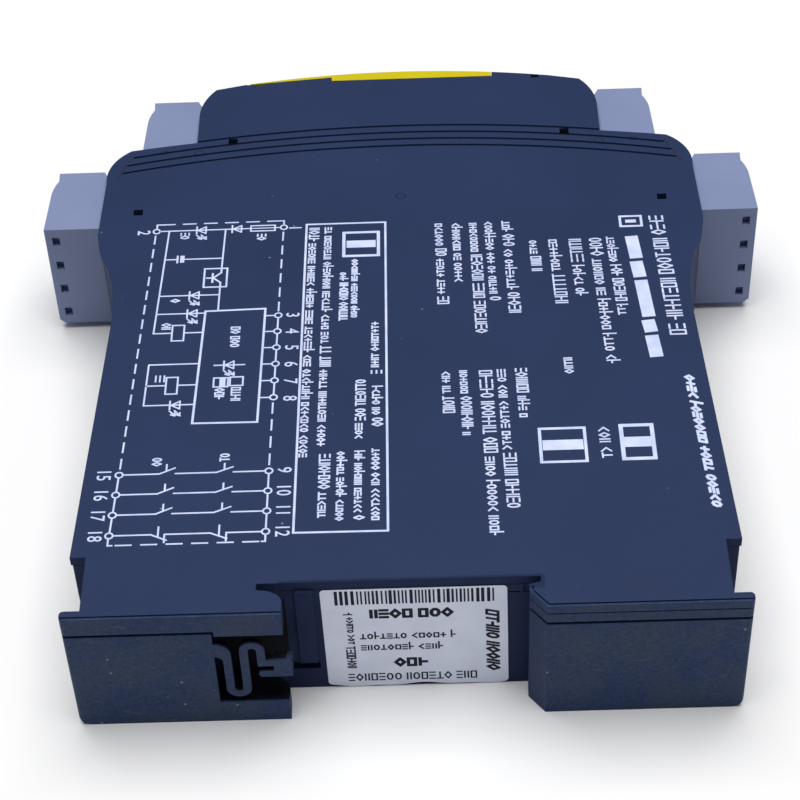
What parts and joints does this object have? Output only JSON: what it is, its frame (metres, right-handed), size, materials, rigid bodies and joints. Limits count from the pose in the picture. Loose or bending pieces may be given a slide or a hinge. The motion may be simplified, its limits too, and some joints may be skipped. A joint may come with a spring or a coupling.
{
  "type": "safety relay",
  "caption": "Narrow DIN-rail safety relay in a dark plastic case with a rail groove, sprung catch, curved front with a clip-on cover, and pull-off screw-terminal plugs at both ends.",
  "frame": {"origin": "middle of the footprint of the relay lying on its flat side, on the surface it lies on", "axes": "+Z across the 22.5 mm width, up from the flat side it lies on; +Y from the rail groove at the back to the curved front; +X along the mounted height, towards the fixed rail hook"},
  "size_m": [0.1136, 0.1198, 0.0225],
  "materials": {
    "housing": "fine matte texture",
    "yellow": "satin",
    "plug_grey": "satin",
    "screw_steel": "bright zinc",
    "cage_steel": "zinc",
    "tinned": "tinned",
    "board": "solder mask",
    "relay_case": "gloss",
    "capacitor": "sleeve",
    "component": "matte",
    "lamp": "diffused",
    "pipe": "clear",
    "switch": "matte",
    "slider": "satin",
    "label": "paper"
  },
  "bodies": {
    "case": {"base_housing": "housing", "capacitor": "capacitor", "catch_spring": "housing", "front_bezel": "housing", "front_board": "board", "header_pins": "tinned", "indicator_leds": "lamp", "light_pipes": "pipe", "logic_chips": "component", "main_board": "board", "power_parts": "component", "rear_label": "label", "relay_one": "relay_case", "relay_two": "relay_case", "side_cover": "housing", "switch_body": "switch", "terminal_headers": "plug_grey"},
    "cover": {"front_cover": "yellow"},
    "slider": {"switch_slider": "slider"},
    "catch": {"rail_catch": "housing"},
    "plug_outer_right": {"plug_outer_right": "plug_grey", "contacts_outer_right": "tinned"},
    "screw_outer_right_1": {"screw_outer_right_1": "screw_steel"},
    "cage_outer_right_1": {"cage_outer_right_1": "cage_steel"},
    "screw_outer_right_2": {"screw_outer_right_2": "screw_steel"},
    "cage_outer_right_2": {"cage_outer_right_2": "cage_steel"},
    "screw_outer_right_3": {"screw_outer_right_3": "screw_steel"},
    "cage_outer_right_3": {"cage_outer_right_3": "cage_steel"},
    "screw_outer_right_4": {"screw_outer_right_4": "screw_steel"},
    "cage_outer_right_4": {"cage_outer_right_4": "cage_steel"},
    "plug_outer_left": {"plug_outer_left": "plug_grey", "contacts_outer_left": "tinned"},
    "screw_outer_left_1": {"screw_outer_left_1": "screw_steel"},
    "cage_outer_left_1": {"cage_outer_left_1": "cage_steel"},
    "screw_outer_left_2": {"screw_outer_left_2": "screw_steel"},
    "cage_outer_left_2": {"cage_outer_left_2": "cage_steel"},
    "screw_outer_left_3": {"screw_outer_left_3": "screw_steel"},
    "cage_outer_left_3": {"cage_outer_left_3": "cage_steel"},
    "screw_outer_left_4": {"screw_outer_left_4": "screw_steel"},
    "cage_outer_left_4": {"cage_outer_left_4": "cage_steel"},
    "plug_inner_right": {"plug_inner_right": "plug_grey", "contacts_inner_right": "tinned"},
    "screw_inner_right_1": {"screw_inner_right_1": "screw_steel"},
    "cage_inner_right_1": {"cage_inner_right_1": "cage_steel"},
    "screw_inner_right_2": {"screw_inner_right_2": "screw_steel"},
    "cage_inner_right_2": {"cage_inner_right_2": "cage_steel"},
    "screw_inner_right_3": {"screw_inner_right_3": "screw_steel"},
    "cage_inner_right_3": {"cage_inner_right_3": "cage_steel"},
    "screw_inner_right_4": {"screw_inner_right_4": "screw_steel"},
    "cage_inner_right_4": {"cage_inner_right_4": "cage_steel"},
    "plug_inner_left": {"plug_inner_left": "plug_grey", "contacts_inner_left": "tinned"},
    "screw_inner_left_1": {"screw_inner_left_1": "screw_steel"},
    "cage_inner_left_1": {"cage_inner_left_1": "cage_steel"},
    "screw_inner_left_2": {"screw_inner_left_2": "screw_steel"},
    "cage_inner_left_2": {"cage_inner_left_2": "cage_steel"},
    "screw_inner_left_3": {"screw_inner_left_3": "screw_steel"},
    "cage_inner_left_3": {"cage_inner_left_3": "cage_steel"},
    "screw_inner_left_4": {"screw_inner_left_4": "screw_steel"},
    "cage_inner_left_4": {"cage_inner_left_4": "cage_steel"}
  },
  "joints": [
    {"name": "cover_lift", "type": "slide", "parent": "case", "child": "cover", "axis": [0, 1, 0], "range_m": [0, 0.012]},
    {"name": "mode_slide", "type": "slide", "parent": "case", "child": "slider", "axis": [1, 0, 0], "range_m": [0, 0.0034]},
    {"name": "catch_push", "type": "slide", "parent": "case", "child": "catch", "axis": [-1, 0, 0], "range_m": [0, 0.0025], "stiffness_N_per_m": 1500, "deforming": ["catch_spring"]},
    {"name": "pull_outer_right", "type": "slide", "parent": "case", "child": "plug_outer_right", "axis": [1, 0, 0], "range_m": [0, 0.012]},
    {"name": "turn_outer_right_1", "type": "hinge", "parent": "plug_outer_right", "child": "screw_outer_right_1", "pos_m": [0.0524, 0.0312, 0.00375], "axis": [0, -1, 0], "range_deg": [0, 866]},
    {"name": "lift_outer_right_1", "type": "slide", "parent": "plug_outer_right", "child": "cage_outer_right_1", "axis": [0, 1, 0], "range_m": [0, 0.0012]},
    {"name": "turn_outer_right_2", "type": "hinge", "parent": "plug_outer_right", "child": "screw_outer_right_2", "pos_m": [0.0524, 0.0312, 0.00875], "axis": [0, -1, 0], "range_deg": [0, 866]},
    {"name": "lift_outer_right_2", "type": "slide", "parent": "plug_outer_right", "child": "cage_outer_right_2", "axis": [0, 1, 0], "range_m": [0, 0.0012]},
    {"name": "turn_outer_right_3", "type": "hinge", "parent": "plug_outer_right", "child": "screw_outer_right_3", "pos_m": [0.0524, 0.0312, 0.01375], "axis": [0, -1, 0], "range_deg": [0, 866]},
    {"name": "lift_outer_right_3", "type": "slide", "parent": "plug_outer_right", "child": "cage_outer_right_3", "axis": [0, 1, 0], "range_m": [0, 0.0012]},
    {"name": "turn_outer_right_4", "type": "hinge", "parent": "plug_outer_right", "child": "screw_outer_right_4", "pos_m": [0.0524, 0.0312, 0.01875], "axis": [0, -1, 0], "range_deg": [0, 866]},
    {"name": "lift_outer_right_4", "type": "slide", "parent": "plug_outer_right", "child": "cage_outer_right_4", "axis": [0, 1, 0], "range_m": [0, 0.0012]},
    {"name": "pull_outer_left", "type": "slide", "parent": "case", "child": "plug_outer_left", "axis": [-1, 0, 0], "range_m": [0, 0.012]},
    {"name": "turn_outer_left_1", "type": "hinge", "parent": "plug_outer_left", "child": "screw_outer_left_1", "pos_m": [-0.0524, 0.0312, 0.01875], "axis": [0, -1, 0], "range_deg": [0, 866]},
    {"name": "lift_outer_left_1", "type": "slide", "parent": "plug_outer_left", "child": "cage_outer_left_1", "axis": [0, 1, 0], "range_m": [0, 0.0012]},
    {"name": "turn_outer_left_2", "type": "hinge", "parent": "plug_outer_left", "child": "screw_outer_left_2", "pos_m": [-0.0524, 0.0312, 0.01375], "axis": [0, -1, 0], "range_deg": [0, 866]},
    {"name": "lift_outer_left_2", "type": "slide", "parent": "plug_outer_left", "child": "cage_outer_left_2", "axis": [0, 1, 0], "range_m": [0, 0.0012]},
    {"name": "turn_outer_left_3", "type": "hinge", "parent": "plug_outer_left", "child": "screw_outer_left_3", "pos_m": [-0.0524, 0.0312, 0.00875], "axis": [0, -1, 0], "range_deg": [0, 866]},
    {"name": "lift_outer_left_3", "type": "slide", "parent": "plug_outer_left", "child": "cage_outer_left_3", "axis": [0, 1, 0], "range_m": [0, 0.0012]},
    {"name": "turn_outer_left_4", "type": "hinge", "parent": "plug_outer_left", "child": "screw_outer_left_4", "pos_m": [-0.0524, 0.0312, 0.00375], "axis": [0, -1, 0], "range_deg": [0, 866]},
    {"name": "lift_outer_left_4", "type": "slide", "parent": "plug_outer_left", "child": "cage_outer_left_4", "axis": [0, 1, 0], "range_m": [0, 0.0012]},
    {"name": "pull_inner_right", "type": "slide", "parent": "case", "child": "plug_inner_right", "axis": [1, 0, 0], "range_m": [0, 0.012]},
    {"name": "turn_inner_right_1", "type": "hinge", "parent": "plug_inner_right", "child": "screw_inner_right_1", "pos_m": [0.038, 0.0495, 0.00375], "axis": [0, -1, 0], "range_deg": [0, 866]},
    {"name": "lift_inner_right_1", "type": "slide", "parent": "plug_inner_right", "child": "cage_inner_right_1", "axis": [0, 1, 0], "range_m": [0, 0.0012]},
    {"name": "turn_inner_right_2", "type": "hinge", "parent": "plug_inner_right", "child": "screw_inner_right_2", "pos_m": [0.038, 0.0495, 0.00875], "axis": [0, -1, 0], "range_deg": [0, 866]},
    {"name": "lift_inner_right_2", "type": "slide", "parent": "plug_inner_right", "child": "cage_inner_right_2", "axis": [0, 1, 0], "range_m": [0, 0.0012]},
    {"name": "turn_inner_right_3", "type": "hinge", "parent": "plug_inner_right", "child": "screw_inner_right_3", "pos_m": [0.038, 0.0495, 0.01375], "axis": [0, -1, 0], "range_deg": [0, 866]},
    {"name": "lift_inner_right_3", "type": "slide", "parent": "plug_inner_right", "child": "cage_inner_right_3", "axis": [0, 1, 0], "range_m": [0, 0.0012]},
    {"name": "turn_inner_right_4", "type": "hinge", "parent": "plug_inner_right", "child": "screw_inner_right_4", "pos_m": [0.038, 0.0495, 0.01875], "axis": [0, -1, 0], "range_deg": [0, 866]},
    {"name": "lift_inner_right_4", "type": "slide", "parent": "plug_inner_right", "child": "cage_inner_right_4", "axis": [0, 1, 0], "range_m": [0, 0.0012]},
    {"name": "pull_inner_left", "type": "slide", "parent": "case", "child": "plug_inner_left", "axis": [-1, 0, 0], "range_m": [0, 0.012]},
    {"name": "turn_inner_left_1", "type": "hinge", "parent": "plug_inner_left", "child": "screw_inner_left_1", "pos_m": [-0.038, 0.0495, 0.01875], "axis": [0, -1, 0], "range_deg": [0, 866]},
    {"name": "lift_inner_left_1", "type": "slide", "parent": "plug_inner_left", "child": "cage_inner_left_1", "axis": [0, 1, 0], "range_m": [0, 0.0012]},
    {"name": "turn_inner_left_2", "type": "hinge", "parent": "plug_inner_left", "child": "screw_inner_left_2", "pos_m": [-0.038, 0.0495, 0.01375], "axis": [0, -1, 0], "range_deg": [0, 866]},
    {"name": "lift_inner_left_2", "type": "slide", "parent": "plug_inner_left", "child": "cage_inner_left_2", "axis": [0, 1, 0], "range_m": [0, 0.0012]},
    {"name": "turn_inner_left_3", "type": "hinge", "parent": "plug_inner_left", "child": "screw_inner_left_3", "pos_m": [-0.038, 0.0495, 0.00875], "axis": [0, -1, 0], "range_deg": [0, 866]},
    {"name": "lift_inner_left_3", "type": "slide", "parent": "plug_inner_left", "child": "cage_inner_left_3", "axis": [0, 1, 0], "range_m": [0, 0.0012]},
    {"name": "turn_inner_left_4", "type": "hinge", "parent": "plug_inner_left", "child": "screw_inner_left_4", "pos_m": [-0.038, 0.0495, 0.00375], "axis": [0, -1, 0], "range_deg": [0, 866]},
    {"name": "lift_inner_left_4", "type": "slide", "parent": "plug_inner_left", "child": "cage_inner_left_4", "axis": [0, 1, 0], "range_m": [0, 0.0012]}
  ],
  "couplings": [
    {"joint": "turn_outer_right_1", "follows": "lift_outer_right_1", "rad_per_m": 12566},
    {"joint": "turn_outer_right_2", "follows": "lift_outer_right_2", "rad_per_m": 12566},
    {"joint": "turn_outer_right_3", "follows": "lift_outer_right_3", "rad_per_m": 12566},
    {"joint": "turn_outer_right_4", "follows": "lift_outer_right_4", "rad_per_m": 12566},
    {"joint": "turn_outer_left_1", "follows": "lift_outer_left_1", "rad_per_m": 12566},
    {"joint": "turn_outer_left_2", "follows": "lift_outer_left_2", "rad_per_m": 12566},
    {"joint": "turn_outer_left_3", "follows": "lift_outer_left_3", "rad_per_m": 12566},
    {"joint": "turn_outer_left_4", "follows": "lift_outer_left_4", "rad_per_m": 12566},
    {"joint": "turn_inner_right_1", "follows": "lift_inner_right_1", "rad_per_m": 12566},
    {"joint": "turn_inner_right_2", "follows": "lift_inner_right_2", "rad_per_m": 12566},
    {"joint": "turn_inner_right_3", "follows": "lift_inner_right_3", "rad_per_m": 12566},
    {"joint": "turn_inner_right_4", "follows": "lift_inner_right_4", "rad_per_m": 12566},
    {"joint": "turn_inner_left_1", "follows": "lift_inner_left_1", "rad_per_m": 12566},
    {"joint": "turn_inner_left_2", "follows": "lift_inner_left_2", "rad_per_m": 12566},
    {"joint": "turn_inner_left_3", "follows": "lift_inner_left_3", "rad_per_m": 12566},
    {"joint": "turn_inner_left_4", "follows": "lift_inner_left_4", "rad_per_m": 12566}
  ]
}
